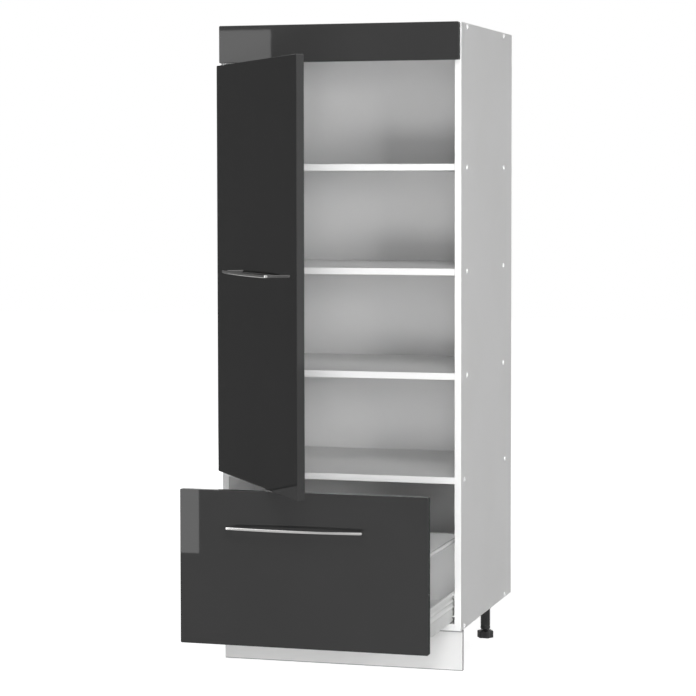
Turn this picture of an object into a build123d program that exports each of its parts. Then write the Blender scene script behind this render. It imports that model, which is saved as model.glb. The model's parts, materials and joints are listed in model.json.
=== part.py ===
from build123d import *
import os
from math import cos, degrees, radians, sin, atan2, hypot

# Tall pantry cabinet with one door over one deep drawer, sizes in millimetres.
# X runs across the width and the fronts face -Y, +Z is up.
# The origin is on the floor, midway across, below the front edges of the carcass.
# Every piece is saved where the cabinet stands with its door and drawer part open.

os.makedirs("parts", exist_ok=True)

# Carcass
cabinet_width = 600.0
cabinet_height = 1550.0
cabinet_depth = 560.0
base_height = 100.0
board = 16.0
drawer_opening_height = 336.5
top_compartment_height = 318.5
shelf_count = 3
shelf_setback = 3.0
back_thickness = 3.0
back_inset = 12.0
groove_depth = 6.0
groove_clearance = 0.1
groove_end_clearance = 0.3
shelf_back_clearance = 0.3
edge_round = 0.6

# Screws through the side panels and the caps over them
screw_radius = 3.0
screw_head_radius = 5.0
screw_head_height = 3.0
screw_grip = 34.0
screw_front = 60.0
screw_rear = 97.0
firm_screw_front = 34.0
firm_screw_rear = 78.0
cap_radius = 6.5
cap_height = 1.4
cap_round = 0.9

# Fronts
front_thickness = 18.0
front_stand_off = 2.0
front_margin = 2.0
front_gap = 5.75
front_corner = 3.0
front_round = 1.2
fascia_height = 90.0
drawer_front_overlap = 8.5
buffer_radius = 4.0
buffer_clearance = 0.3
buffer_inset = 9.0
buffer_inset_z = 20.0

# Brackets that hold the fascia to the side panels
bracket_thickness = 2.0
bracket_leg = 34.0
bracket_height = 40.0
bracket_drop = 14.0
small_screw_radius = 1.9
small_screw_head_radius = 3.6
small_screw_head_height = 1.0
small_screw_grip = 12.0

# Bow handles, measured outwards from the face that they stand on
handle_spacing = 320.0
handle_reach = 30.0
handle_bow = 12.0
handle_bar_depth = 8.0
handle_bar_height = 6.0
handle_leg_width = 9.0
handle_corner = 7.0
handle_edge_round = 1.4
handle_drop = 84.5
drawer_handle_offset = -14.0
handle_screw_radius = 2.0
handle_screw_bite = 14.0
handle_screw_head_radius = 4.0
handle_screw_head_height = 2.0

# Base
leg_inset = 43.0
front_leg_setback = 64.0
rear_leg_setback = 450.0
leg_plate_radius = 30.0
leg_plate_thickness = 4.0
leg_tube_radius = 12.5
leg_rib_thickness = 3.0
leg_rib_drop = 16.0
leg_screw_circle = 22.0
leg_screws_each = 4
foot_radius = 21.0
foot_height = 18.0
foot_lobe_radius = 5.0
foot_lobes = 6
foot_edge_round = 1.5
neck_height = 4.0
spindle_radius = 7.0
spindle_length = 52.0
spindle_clearance = 0.06
spindle_headroom = 8.0
plinth_setback = 14.0
plinth_thickness = 16.0
plinth_floor_gap = 1.0
plinth_top_gap = 1.5
clip_height = 20.0
clip_wall = 3.0
clip_opening = 16.0
clip_plate_width = 46.0
clip_plate_height = 34.0

# Door and its three cup hinges, laid out with the door closed
door_open = 53.7
link_share = 0.2
arm_pin_in = 26.0
arm_pin_back = 2.0
cup_pin_in = 7.0
cup_pin_sink = 1.4
hinge_pin_radius = 1.25
hinge_pin_clearance = 0.05
arm_eye_radius = 2.9
cup_eye_radius = 2.3
link_thickness = 1.8
link_height = 8.0
link_side_clearance = 0.3
cheek_thickness = 1.5
cup_radius = 17.45
cup_wall = 1.0
cup_depth = 11.5
cup_seat_clearance = 0.05
cup_floor_clearance = 0.3
cup_edge_distance = 3.05
cup_flange_thickness = 1.2
cup_flange_inner_edge = 2.5
cup_flange_outer_edge = 36.0
cup_wing_half_height = 27.0
cup_wing_half_width = 6.0
cup_screw_spread = 22.5
cup_lug_width = 5.0
plate_thickness = 3.0
plate_length = 52.0
plate_setback = 28.0
plate_wing_length = 18.0
plate_wing_half_height = 26.0
plate_body_half_height = 9.0
plate_screw_spread = 16.0
arm_rise = 19.0
arm_shoulder = 44.0
arm_neck = 24.0
arm_heel_step = 8.0
hinge_end_distance = 95.0
hinge_above_shelf = 117.5

# Drawer box
drawer_open = 290.0
drawer_length = 500.0
drawer_side_gap = 8.0
sheet = 1.2
drawer_floor_clearance = 4.0
drawer_side_height = 72.5
lip_height = 6.0
flange_reach = 6.6
bead_depth = 1.8
bead_half_width = 4.0
bead_flat = 1.0
bead_first_drop = 23.5
bead_spacing = 14.5
bead_count = 2
bottom_flange = 16.0
drawer_board = 16.0
drawer_board_clearance = 0.3
drawer_back_top = 188.3
bracket_sheet = 1.5
front_bracket_leg = 30.0
front_bracket_width = 13.0
front_bracket_height = 34.0
front_bracket_rise = 24.0

# Gallery rails
rail_radius = 5.0
rail_inset = 6.0
rail_above_back = 0.5
rail_socket_radius = 8.0
rail_socket_depth = 10.0
rail_seat = 2.0
rail_holder_wall = 3.5
rail_holder_plate = 1.5
rail_holder_drop = 24.0

# Runners and their rollers
runner_sheet = 1.1
runner_setback = 4.0
runner_length = 500.0
runner_flange = 7.0
runner_post_length = 28.0
roller_radius = 7.0
roller_width = 4.3
roller_gap = 0.2
roller_side_gap = 0.6
roller_pin_radius = 1.5
roller_pin_clearance = 0.05
roller_post_margin = 4.0
rear_roller_inset = 16.0
rear_roller_rise = 21.0
runner_screw_first = 50.0
runner_screw_spacing = 195.0
runner_screw_count = 3

# Planes and heights that several pieces share
half_width = cabinet_width / 2
inner_half = half_width - board
front_inner_y = -front_stand_off
front_outer_y = front_inner_y - front_thickness
front_half = half_width - front_margin
floor_top = base_height + board
fixed_shelf_bottom = floor_top + drawer_opening_height
fixed_shelf_top = fixed_shelf_bottom + board
highest_shelf_top = cabinet_height - board - top_compartment_height
shelf_pitch = (highest_shelf_top - fixed_shelf_top) / shelf_count
shelf_tops = [fixed_shelf_top + shelf_pitch * (n + 1) for n in range(shelf_count)]
fascia_bottom = cabinet_height - fascia_height
drawer_front_top = fixed_shelf_bottom + drawer_front_overlap
door_bottom = drawer_front_top + front_gap
door_top = fascia_bottom - front_gap
back_front_y = cabinet_depth - back_inset - back_thickness
shelf_rear_y = back_front_y - shelf_back_clearance

arm_pin = (-inner_half + arm_pin_in, arm_pin_back)
cup_pin = (-front_half + cup_pin_in, front_inner_y - cup_pin_sink)


def block(x0, x1, y0, y1, z0, z1):
    """A rectangular block between two corners."""
    size = (abs(x1 - x0), abs(y1 - y0), abs(z1 - z0))
    return Pos((x0 + x1) / 2, (y0 + y1) / 2, (z0 + z1) / 2) * Box(*size)


def rod(direction, radius, start, length):
    """A round rod that begins at start and runs along a direction."""
    plane = Plane(origin=start, z_dir=direction)
    return plane * Cylinder(radius, length, align=(Align.CENTER, Align.CENTER, Align.MIN))


def save(name, *solids):
    """Write one piece, or a group of like pieces, as one file."""
    shape = solids[0] if len(solids) == 1 else Compound(children=list(solids))
    export_step(shape, f"parts/{name}.step")


def turn(shape, pivot, angle):
    """Turn a shape about an upright axis through a point in plan."""
    return shape.rotate(Axis((pivot[0], pivot[1], 0), (0, 0, 1)), angle)


def pose_link(shape):
    """Swing a hinge link from the closed place to where the door stands."""
    return turn(shape, arm_pin, link_share * door_open)


def pose_door(shape):
    """Swing a piece of the door from the closed place to where the door stands."""
    span = (cup_pin[0] - arm_pin[0], cup_pin[1] - arm_pin[1])
    swing = radians(link_share * door_open)
    moved_x = arm_pin[0] + span[0] * cos(swing) - span[1] * sin(swing)
    moved_y = arm_pin[1] + span[0] * sin(swing) + span[1] * cos(swing)
    turned = turn(shape, cup_pin, -door_open)
    return Pos(moved_x - cup_pin[0], moved_y - cup_pin[1], 0) * turned


def pose_drawer(shape):
    """Pull a piece of the drawer out to where the drawer stands."""
    return Pos(0, -drawer_open, 0) * shape


def round_edges(shape, radius):
    """Ease every edge of a board."""
    return fillet(shape.edges(), radius)


def front_board(z0, z1):
    """A front across the whole width, its corners rounded off and its rims eased."""
    front = block(-front_half, front_half, front_outer_y, front_inner_y, z0, z1)
    front = fillet(front.edges().filter_by(Axis.Y), front_corner)
    faces = front.faces().sort_by(Axis.Y)
    rims = [edge for face in (faces[0], faces[-1]) for edge in face.edges()]
    return fillet(rims, front_round)


# Carcass screws and caps

def screw_places():
    """Height, front and rear depth of the screws at each board."""
    firm = (firm_screw_front, cabinet_depth - firm_screw_rear)
    light = (screw_front, cabinet_depth - screw_rear)
    places = [(base_height + board / 2, firm), (fixed_shelf_bottom + board / 2, firm)]
    places += [(top - board / 2, light) for top in shelf_tops]
    places.append((cabinet_height - board / 2, light))
    return [(y, z) for z, depths in places for y in depths]


def carcass_screw(side, y, z):
    """A screw with a sunk flat head, driven inwards through a side panel."""
    inwards = (-side, 0, 0)
    start = (side * half_width, y, z)
    return rod(inwards, screw_head_radius, start, screw_head_height) + rod(
        inwards, screw_radius, start, board + screw_grip)


def cover_cap(side, y, z):
    """A low round cap that covers one screw head."""
    cap = rod((side, 0, 0), cap_radius, (side * half_width, y, z), cap_height)
    rim = cap.edges().filter_by(GeomType.CIRCLE).sort_by(Axis.X)[-1 if side > 0 else 0]
    return fillet(rim, cap_round)


carcass_screws = {side: [carcass_screw(side, y, z) for y, z in screw_places()] for side in (-1, 1)}


def runner_screws_for(side):
    """Screws that hold a runner to its side panel, their heads inside the channel."""
    screws = []
    for n in range(runner_screw_count):
        y = runner_setback + runner_screw_first + runner_screw_spacing * n
        start = (side * (inner_half - runner_sheet), y, rear_roller_z)
        head = rod((-side, 0, 0), small_screw_head_radius, start, small_screw_head_height)
        screws.append(head + rod((side, 0, 0), small_screw_radius, start, small_screw_grip))
    return screws


# Drawer and runner planes
drawer_bottom_z = floor_top + drawer_floor_clearance
drawer_side_top = drawer_bottom_z + drawer_side_height
side_outer_x = inner_half - drawer_side_gap
side_inner_x = side_outer_x - sheet
drawer_board_half = side_inner_x - drawer_board_clearance
drawer_board_top = drawer_bottom_z + sheet + drawer_board
drawer_rear_y = front_inner_y + drawer_length
drawer_back_front_y = drawer_rear_y - drawer_board
drawer_back_top_z = floor_top + drawer_back_top
rail_x = side_outer_x - rail_inset
rail_z = drawer_back_top_z + rail_above_back + rail_radius
rear_roller_z = drawer_bottom_z + rear_roller_rise
front_roller_z = drawer_side_top - sheet - roller_gap - roller_radius
front_roller_y = runner_setback + runner_post_length / 2
roller_inner_x = side_outer_x + roller_side_gap


# Hinges, three alike on the left side

middle_shelf_top = shelf_tops[len(shelf_tops) // 2]
hinge_heights = (door_bottom + hinge_end_distance, middle_shelf_top + hinge_above_shelf,
                 door_top - hinge_end_distance)
cup_x = -front_half + cup_edge_distance + cup_radius
cup_floor_y = front_inner_y - cup_depth
fork_inner = link_height / 2 + link_side_clearance
fork_outer = fork_inner + cheek_thickness
plate_face_x = -inner_half + plate_thickness
cup_screw_start_y = front_inner_y + cup_flange_thickness


def hinge_link(z):
    """The strap between the arm pin and the cup pin, with a rolled eye at each end."""
    low = z - link_height / 2
    run = (cup_pin[0] - arm_pin[0], cup_pin[1] - arm_pin[1])
    length = hypot(*run)
    strap = block(0, length, -link_thickness / 2, link_thickness / 2, low, low + link_height)
    strap = strap.rotate(Axis.Z, degrees(atan2(run[1], run[0])))
    link = Pos(*arm_pin, 0) * strap
    for centre, radius in ((arm_pin, arm_eye_radius), (cup_pin, cup_eye_radius)):
        link += rod((0, 0, 1), radius, (*centre, low), link_height)
    for centre in (arm_pin, cup_pin):
        link -= rod((0, 0, 1), hinge_pin_radius + hinge_pin_clearance, (*centre, low), link_height)
    return link


def hinge_pin(centre, z):
    """A plain pin through both ears of a fork."""
    return rod((0, 0, 1), hinge_pin_radius, (*centre, z - fork_outer), 2 * fork_outer)


def hinge_cup(z):
    """The pressed cup in the door, with its flange, two wings and two pin lugs."""
    outer = rod((0, 1, 0), cup_radius, (cup_x, cup_floor_y, z), cup_depth)
    flange_y = front_inner_y + cup_flange_thickness
    rim_left = -front_half + cup_flange_inner_edge
    rim_right = -front_half + cup_flange_outer_edge
    flange = block(rim_left, rim_right, front_inner_y, flange_y, z - cup_radius, z + cup_radius)
    flange += block(cup_x - cup_wing_half_width, cup_x + cup_wing_half_width, front_inner_y,
                    flange_y, z - cup_wing_half_height, z + cup_wing_half_height)
    cup = outer + flange
    hollow_y = cup_floor_y + cup_wall
    cup -= rod((0, 1, 0), cup_radius - cup_wall, (cup_x, hollow_y, z), flange_y - hollow_y)
    # A notch and a round pocket leave the link free to swing over the door's edge.
    cup -= block(rim_left, cup_pin[0], cup_pin[1], flange_y, z - fork_inner, z + fork_inner)
    cup -= rod((0, 0, 1), cup_eye_radius + link_side_clearance, (*cup_pin, z - fork_inner),
               2 * fork_inner)
    for end in (-1, 1):
        lug = block(cup_pin[0] - cup_lug_width / 2, cup_pin[0] + cup_lug_width / 2, hollow_y,
                    flange_y, z + end * fork_inner, z + end * fork_outer)
        cup += lug & rod((0, 1, 0), cup_radius, (cup_x, cup_floor_y, z), cup_depth * 2)
    for end in (-1, 1):
        cup -= rod((0, -1, 0), small_screw_radius, (cup_x, flange_y, z + end * cup_screw_spread),
                   cup_flange_thickness)
    return cup - hinge_pin(cup_pin, z)


def cup_screws_for(z):
    """Two short screws that hold the cup's wings to the door."""
    screws = []
    for end in (-1, 1):
        start = (cup_x, cup_screw_start_y, z + end * cup_screw_spread)
        head = rod((0, 1, 0), small_screw_head_radius, start, small_screw_head_height / 2)
        screws.append(head + rod((0, -1, 0), small_screw_radius, start, small_screw_grip))
    return screws


def hinge_arm(z):
    """The channel that reaches forward from its plate and carries the arm pin."""
    outline = Polyline(
        (arm_pin[0] + arm_eye_radius, arm_pin[1]),
        (arm_pin[0] + arm_eye_radius, arm_neck),
        (plate_face_x + arm_rise, arm_shoulder),
        (plate_face_x + arm_rise, plate_setback + plate_length),
        (plate_face_x, plate_setback + plate_length),
        (plate_face_x, arm_shoulder - arm_heel_step),
        (arm_pin[0] - 2 * arm_eye_radius, arm_neck),
        (arm_pin[0] - arm_eye_radius, arm_pin[1]),
        close=True)
    cheek_face = make_face(outline) + Pos(*arm_pin) * Circle(arm_eye_radius)
    arm = Pos(0, 0, z - fork_outer) * extrude(cheek_face, cheek_thickness)
    arm += Pos(0, 0, z + fork_inner) * extrude(cheek_face, cheek_thickness)
    web_x = plate_face_x + arm_rise
    arm += block(web_x - cheek_thickness, web_x, arm_shoulder, plate_setback + plate_length,
                 z - fork_outer, z + fork_outer)
    return arm - hinge_pin(arm_pin, z)


def hinge_plate(z):
    """The cross-shaped plate that the arm clips to."""
    rear = plate_setback + plate_length
    plate = block(-inner_half, plate_face_x, plate_setback, rear,
                  z - plate_body_half_height, z + plate_body_half_height)
    plate += block(-inner_half, plate_face_x, plate_setback, plate_setback + plate_wing_length,
                   z - plate_wing_half_height, z + plate_wing_half_height)
    for screw in plate_screws_for(z):
        plate -= screw
    return plate


def plate_screws_for(z):
    """Two screws through the plate's wings into the side panel."""
    screws = []
    for end in (-1, 1):
        y = plate_setback + plate_wing_length / 2
        start = (plate_face_x, y, z + end * plate_screw_spread)
        head = rod((1, 0, 0), small_screw_head_radius, start, small_screw_head_height)
        screws.append(head + rod((-1, 0, 0), small_screw_radius, start, small_screw_grip))
    return screws


# Carcass boards

def side_panel(side):
    """One side panel with its screw bores and the groove for the back."""
    panel = block(side * inner_half, side * half_width, 0, cabinet_depth, base_height, cabinet_height)
    panel = round_edges(panel, edge_round)
    groove_from = back_front_y - groove_clearance
    groove_to = back_front_y + back_thickness + groove_clearance
    panel -= block(side * inner_half, side * (inner_half + groove_depth), groove_from, groove_to,
                   base_height, cabinet_height)
    for screw in carcass_screws[side] + runner_screws_for(side):
        panel -= screw
    for screw in bracket_side_screws(side):
        panel -= screw
    if side < 0:
        for z in hinge_heights:
            for screw in plate_screws_for(z):
                panel -= screw
    return panel


def cross_board(z0, z1, front_y, rear_y):
    """A board that spans between the side panels, bored for the screws."""
    shelf = round_edges(block(-inner_half, inner_half, front_y, rear_y, z0, z1), edge_round)
    for side in (-1, 1):
        for screw in carcass_screws[side]:
            if z0 < screw.center().Z < z1:
                shelf -= screw
    return shelf


def groove_in(shelf, z0, z1):
    """Cut the back panel's groove into the top or bottom board."""
    return shelf - block(-inner_half, inner_half, back_front_y - groove_clearance,
                         back_front_y + back_thickness + groove_clearance, z0, z1)


def bracket_side_screws(side):
    """The screw that holds a fascia bracket to a side panel."""
    start = (side * (inner_half - bracket_thickness), bracket_leg / 2, bracket_z)
    head = rod((-side, 0, 0), small_screw_head_radius, start, small_screw_head_height)
    return [head + rod((side, 0, 0), small_screw_radius, start, small_screw_grip)]


def bracket_front_screws(side):
    """The screw that holds a fascia bracket to the fascia."""
    start = (side * (inner_half - bracket_leg / 2), front_inner_y + bracket_thickness, bracket_z)
    head = rod((0, 1, 0), small_screw_head_radius, start, small_screw_head_height)
    return [head + rod((0, -1, 0), small_screw_radius, start, small_screw_grip)]


def fascia_bracket(side):
    """An angle with one leg on the side panel and one on the fascia."""
    low = bracket_z - bracket_height / 2
    high = bracket_z + bracket_height / 2
    angle = block(side * (inner_half - bracket_leg), side * inner_half, front_inner_y,
                  front_inner_y + bracket_thickness, low, high)
    angle += block(side * (inner_half - bracket_thickness), side * inner_half, front_inner_y,
                   bracket_leg, low, high)
    for screw in bracket_side_screws(side) + bracket_front_screws(side):
        angle -= screw
    return angle


bracket_z = cabinet_height - board - bracket_drop - bracket_height / 2

for side, word in ((-1, "left"), (1, "right")):
    save(f"side_panel_{word}", side_panel(side))
    save(f"carcass_screws_{word}", *carcass_screws[side])
    save(f"cover_caps_{word}", *[cover_cap(side, y, z) for y, z in screw_places()])

leg_places = [(side * (half_width - leg_inset), y) for y in (front_leg_setback, rear_leg_setback)
              for side in (-1, 1)]


def leg_screws_for(x, y):
    """Screws on a circle that hold one leg to the bottom board."""
    screws = []
    for n in range(leg_screws_each):
        angle = radians(45 + 360 / leg_screws_each * n)
        start = (x + leg_screw_circle * cos(angle), y + leg_screw_circle * sin(angle),
                 base_height - leg_plate_thickness)
        head = rod((0, 0, -1), small_screw_head_radius, start, small_screw_head_height)
        screws.append(head + rod((0, 0, 1), small_screw_radius, start, small_screw_grip))
    return screws


bottom_panel = cross_board(base_height, floor_top, 0, cabinet_depth)
bottom_panel = groove_in(bottom_panel, floor_top - groove_depth, floor_top)
for place in leg_places:
    for screw in leg_screws_for(*place):
        bottom_panel -= screw
save("bottom_panel", bottom_panel)

top_underside = cabinet_height - board
top_panel = cross_board(top_underside, cabinet_height, 0, cabinet_depth)
save("top_panel", groove_in(top_panel, top_underside, top_underside + groove_depth))
save("fixed_shelf", cross_board(fixed_shelf_bottom, fixed_shelf_top, 0, shelf_rear_y))
for number, top in enumerate(shelf_tops, 1):
    save(f"shelf_{number}", cross_board(top - board, top, shelf_setback, shelf_rear_y))

back_reach = groove_depth - groove_end_clearance
save("back_panel", block(-inner_half - back_reach, inner_half + back_reach, back_front_y,
                         back_front_y + back_thickness, floor_top - back_reach,
                         top_underside + back_reach))

fascia = front_board(fascia_bottom, cabinet_height)
for side in (-1, 1):
    for screw in bracket_front_screws(side):
        fascia -= screw
save("fascia_panel", fascia)
save("fascia_brackets", *[fascia_bracket(side) for side in (-1, 1)])
save("fascia_screws", *[screw for side in (-1, 1)
                        for screw in bracket_side_screws(side) + bracket_front_screws(side)])


# Legs, feet and plinth

tube_bottom = foot_height + neck_height


def leg_socket(x, y):
    """A moulded leg: round plate, four ribs and a tube bored for the spindle."""
    plate_z = base_height - leg_plate_thickness
    leg = rod((0, 0, 1), leg_plate_radius, (x, y, plate_z), leg_plate_thickness)
    leg += rod((0, 0, 1), leg_tube_radius, (x, y, tube_bottom), plate_z - tube_bottom)
    rib_reach = leg_plate_radius - leg_rib_thickness
    for span, width in ((rib_reach, leg_rib_thickness / 2), (leg_rib_thickness / 2, rib_reach)):
        leg += block(x - span, x + span, y - width, y + width, plate_z - leg_rib_drop, plate_z)
    bore_top = spindle_length + spindle_headroom
    leg -= rod((0, 0, 1), spindle_radius + spindle_clearance, (x, y, tube_bottom),
               bore_top - tube_bottom)
    for screw in leg_screws_for(x, y):
        leg -= screw
    return leg


def foot(x, y):
    """A lobed foot to turn by hand, with the spindle that screws into the leg."""
    core = foot_radius - foot_lobe_radius
    outline = Circle(core)
    for n in range(foot_lobes):
        outline += Rot(0, 0, 360 / foot_lobes * n) * (Pos(core, 0) * Circle(foot_lobe_radius))
    knob = extrude(outline, foot_height)
    knob = fillet(knob.faces().sort_by(Axis.Z)[-1].edges(), foot_edge_round)
    return Pos(x, y, 0) * knob + rod((0, 0, 1), spindle_radius, (x, y, foot_height / 2),
                                     spindle_length - foot_height / 2)


save("leg_sockets", *[leg_socket(*place) for place in leg_places])
save("leg_screws", *[screw for place in leg_places for screw in leg_screws_for(*place)])
for place, word in zip(leg_places, ("front_left", "front_right", "rear_left", "rear_right")):
    save(f"foot_{word}", foot(*place))

plinth_rear_y = plinth_setback + plinth_thickness
plinth_top = base_height - plinth_top_gap
plinth = block(-half_width, half_width, plinth_setback, plinth_rear_y, plinth_floor_gap, plinth_top)
save("plinth_panel", round_edges(plinth, edge_round))


def plinth_clip(x):
    """A sprung ring round the leg, joined to a plate on the plinth's rear face."""
    y = front_leg_setback
    mid_z = (plinth_floor_gap + plinth_top) / 2
    low = mid_z - clip_height / 2
    ring = rod((0, 0, 1), leg_tube_radius + clip_wall, (x, y, low), clip_height)
    ring += block(x - clip_opening / 2, x + clip_opening / 2, plinth_rear_y, y, low,
                  low + clip_height)
    ring += block(x - clip_plate_width / 2, x + clip_plate_width / 2, plinth_rear_y,
                  plinth_rear_y + clip_wall, mid_z - clip_plate_height / 2,
                  mid_z + clip_plate_height / 2)
    ring -= rod((0, 0, 1), leg_tube_radius, (x, y, low), clip_height)
    return ring - block(x - clip_opening / 2, x + clip_opening / 2, y,
                        y + leg_tube_radius + clip_wall, low, low + clip_height)


save("plinth_clips", *[plinth_clip(side * (half_width - leg_inset)) for side in (-1, 1)])


# Handles

def bow_handle(centre_x, z):
    """A flat bar bowed outwards between two legs, standing on a front's outer face."""
    leg = handle_leg_width / 2
    end = handle_spacing / 2 + leg
    inner = handle_spacing / 2 - leg
    shoulder = handle_reach - handle_bar_depth
    outline = Polyline((-inner, shoulder), (-inner, 0), (-end, 0), (-end, handle_reach))
    outline += ThreePointArc((-end, handle_reach), (0, handle_reach + handle_bow), (end, handle_reach))
    outline += Polyline((end, handle_reach), (end, 0), (inner, 0), (inner, shoulder))
    outline += ThreePointArc((inner, shoulder), (0, shoulder + handle_bow), (-inner, shoulder))
    bar = extrude(make_face(outline), handle_bar_height)
    for reach, radius in ((end, handle_corner), (inner, handle_corner / 2)):
        corners = [edge for edge in bar.edges().filter_by(Axis.Z)
                   if abs(abs(edge.center().X) - reach) < 0.01 and edge.center().Y > leg]
        bar = fillet(corners, radius)
    faces = bar.faces().sort_by(Axis.Z)
    rims = [edge for face in (faces[0], faces[-1]) for edge in face.edges() if edge.center().Y > 0.01]
    bar = fillet(rims, handle_edge_round)
    # Turned so that its reach runs outwards, away from the face.
    bar = bar.rotate(Axis.Z, 180)
    return Pos(centre_x, front_outer_y, z - handle_bar_height / 2) * bar


def handle_screws_for(centre_x, z):
    """Two machine screws from the inner face through the front into the legs."""
    screws = []
    for end in (-1, 1):
        start = (centre_x + end * handle_spacing / 2, front_inner_y, z)
        head = rod((0, 1, 0), handle_screw_head_radius, start, handle_screw_head_height)
        shank = rod((0, -1, 0), handle_screw_radius, start, front_thickness + handle_screw_bite)
        screws.append(head + shank)
    return screws


def drilled_handle(centre_x, z):
    """A bow handle bored for its screws."""
    handle = bow_handle(centre_x, z)
    for screw in handle_screws_for(centre_x, z):
        handle -= screw
    return handle


def buffer(x, z):
    """A small soft stop on the inner face of a front."""
    return rod((0, 1, 0), buffer_radius, (x, front_inner_y, z), front_stand_off - buffer_clearance)


# Door

door_handle_z = (door_bottom + door_top) / 2
door = front_board(door_bottom, door_top)
for z in hinge_heights:
    door -= rod((0, -1, 0), cup_radius + cup_seat_clearance, (cup_x, front_inner_y, z),
                cup_depth + cup_floor_clearance)
    for screw in cup_screws_for(z):
        door -= screw
for screw in handle_screws_for(0, door_handle_z):
    door -= screw
save("door_panel", pose_door(door))
save("door_handle", pose_door(drilled_handle(0, door_handle_z)))
save("door_handle_screws", *[pose_door(screw) for screw in handle_screws_for(0, door_handle_z)])
door_buffer_x = front_half - buffer_inset
door_buffer_heights = (door_bottom + buffer_inset_z, door_top - buffer_inset_z)
save("door_buffers", *[pose_door(buffer(door_buffer_x, z)) for z in door_buffer_heights])

save("hinge_cups", *[pose_door(hinge_cup(z)) for z in hinge_heights])
save("hinge_cup_screws", *[pose_door(screw) for z in hinge_heights for screw in cup_screws_for(z)])
save("hinge_cup_pins", *[pose_door(hinge_pin(cup_pin, z)) for z in hinge_heights])
save("hinge_links", *[pose_link(hinge_link(z)) for z in hinge_heights])
save("hinge_arm_pins", *[hinge_pin(arm_pin, z) for z in hinge_heights])
save("hinge_arms", *[hinge_arm(z) for z in hinge_heights])
save("hinge_plates", *[hinge_plate(z) for z in hinge_heights])
save("hinge_plate_screws", *[screw for z in hinge_heights for screw in plate_screws_for(z)])


# Drawer

drawer_handle_z = drawer_front_top - handle_drop
front_bracket_z = drawer_board_top + front_bracket_rise


def drawer_side(side):
    """A folded steel side: rolled top flange and lip, two beads and a floor flange."""
    x = side_outer_x - sheet / 2
    top = drawer_side_top - sheet / 2
    low = drawer_bottom_z + sheet / 2
    points = [(x + flange_reach, top - lip_height), (x + flange_reach, top), (x, top)]
    for n in range(bead_count):
        middle = drawer_side_top - bead_first_drop - bead_spacing * n
        points += [(x, middle + bead_half_width), (x + bead_depth, middle + bead_flat),
                   (x + bead_depth, middle - bead_flat), (x, middle - bead_half_width)]
    points += [(x, low), (x - bottom_flange, low)]
    face = trace(Polyline(*points), line_width=sheet)
    profile = Plane.XZ.offset(-front_inner_y) * face
    wall = extrude(profile, -drawer_length)
    wall = wall if side > 0 else wall.mirror(Plane.YZ)
    return wall - roller_pin_rear(side)


def roller_pin_rear(side):
    """The stub that carries the drawer's own roller."""
    start = (side * side_inner_x, drawer_rear_y - rear_roller_inset, rear_roller_z)
    return rod((side, 0, 0), roller_pin_radius, start, roller_inner_x + roller_width - side_inner_x)


def roller_pin_front(side):
    """The stub that carries the runner's roller."""
    start = (side * inner_half, front_roller_y, front_roller_z)
    return rod((-side, 0, 0), roller_pin_radius, start, inner_half - roller_inner_x)


def roller(side, y, z):
    """A plain roller on a stub."""
    start = (side * roller_inner_x, y, z)
    wheel = rod((side, 0, 0), roller_radius, start, roller_width)
    return wheel - rod((side, 0, 0), roller_pin_radius + roller_pin_clearance, start, roller_width)


def runner(side):
    """A steel channel for the drawer's roller, with a post at its front for its own."""
    wall_x = side * (inner_half - runner_sheet)
    lip_x = side * (inner_half - runner_flange)
    low = rear_roller_z - roller_radius - roller_gap
    high = rear_roller_z + roller_radius + roller_gap
    rear = runner_setback + runner_length
    channel = block(wall_x, side * inner_half, runner_setback, rear, low, high)
    for z0, z1 in ((low - runner_sheet, low), (high, high + runner_sheet)):
        channel += block(lip_x, side * inner_half, runner_setback, rear, z0, z1)
    channel += block(wall_x, side * inner_half, runner_setback, runner_setback + runner_post_length,
                     high, front_roller_z + roller_post_margin)
    for screw in runner_screws_for(side):
        channel -= screw
    return channel - roller_pin_front(side)


def front_bracket_screws(side):
    """Screws through one bracket, one into the front and one through the side."""
    start = (side * (side_inner_x - front_bracket_width / 2), front_inner_y + bracket_sheet,
             front_bracket_z)
    head = rod((0, 1, 0), small_screw_head_radius, start, small_screw_head_height)
    return [head + rod((0, -1, 0), small_screw_radius, start, small_screw_grip)]


def front_bracket(side):
    """An angle between a drawer side and the drawer front."""
    low = front_bracket_z - front_bracket_height / 2
    high = front_bracket_z + front_bracket_height / 2
    outer = side * side_inner_x
    angle = block(outer - side * front_bracket_width, outer, front_inner_y,
                  front_inner_y + bracket_sheet, low, high)
    angle += block(outer - side * bracket_sheet, outer, front_inner_y,
                   front_inner_y + front_bracket_leg, low, high)
    for screw in front_bracket_screws(side):
        angle -= screw
    return angle


def rail_socket(side):
    """A round socket on the drawer front that takes a rail's end."""
    start = (side * rail_x, front_inner_y, rail_z)
    socket = rod((0, 1, 0), rail_socket_radius, start, rail_socket_depth)
    return socket - rail(side)


def rail(side):
    """A round rail from the drawer front to the drawer back."""
    start = (side * rail_x, front_inner_y + rail_seat, rail_z)
    return rod((0, 1, 0), rail_radius, start, drawer_rear_y - rail_seat - (front_inner_y + rail_seat))


def holder_screw(side):
    """The screw that holds a rail holder to the drawer back."""
    start = (side * rail_x, drawer_back_front_y - rail_holder_plate,
             drawer_back_top_z - rail_holder_drop / 2)
    head = rod((0, -1, 0), small_screw_head_radius, start, small_screw_head_height)
    return head + rod((0, 1, 0), small_screw_radius, start, small_screw_grip)


def rail_holder(side):
    """A block over the top edge of the drawer back that grips a rail's rear end."""
    half = rail_radius + rail_holder_wall
    left, right = side * rail_x - half, side * rail_x + half
    plate_y = drawer_back_front_y - rail_holder_plate
    holder = block(left, right, plate_y, drawer_rear_y, drawer_back_top_z, rail_z + half)
    holder += block(left, right, plate_y, drawer_back_front_y, drawer_back_top_z - rail_holder_drop,
                    drawer_back_top_z)
    return holder - rail(side) - holder_screw(side)


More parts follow.
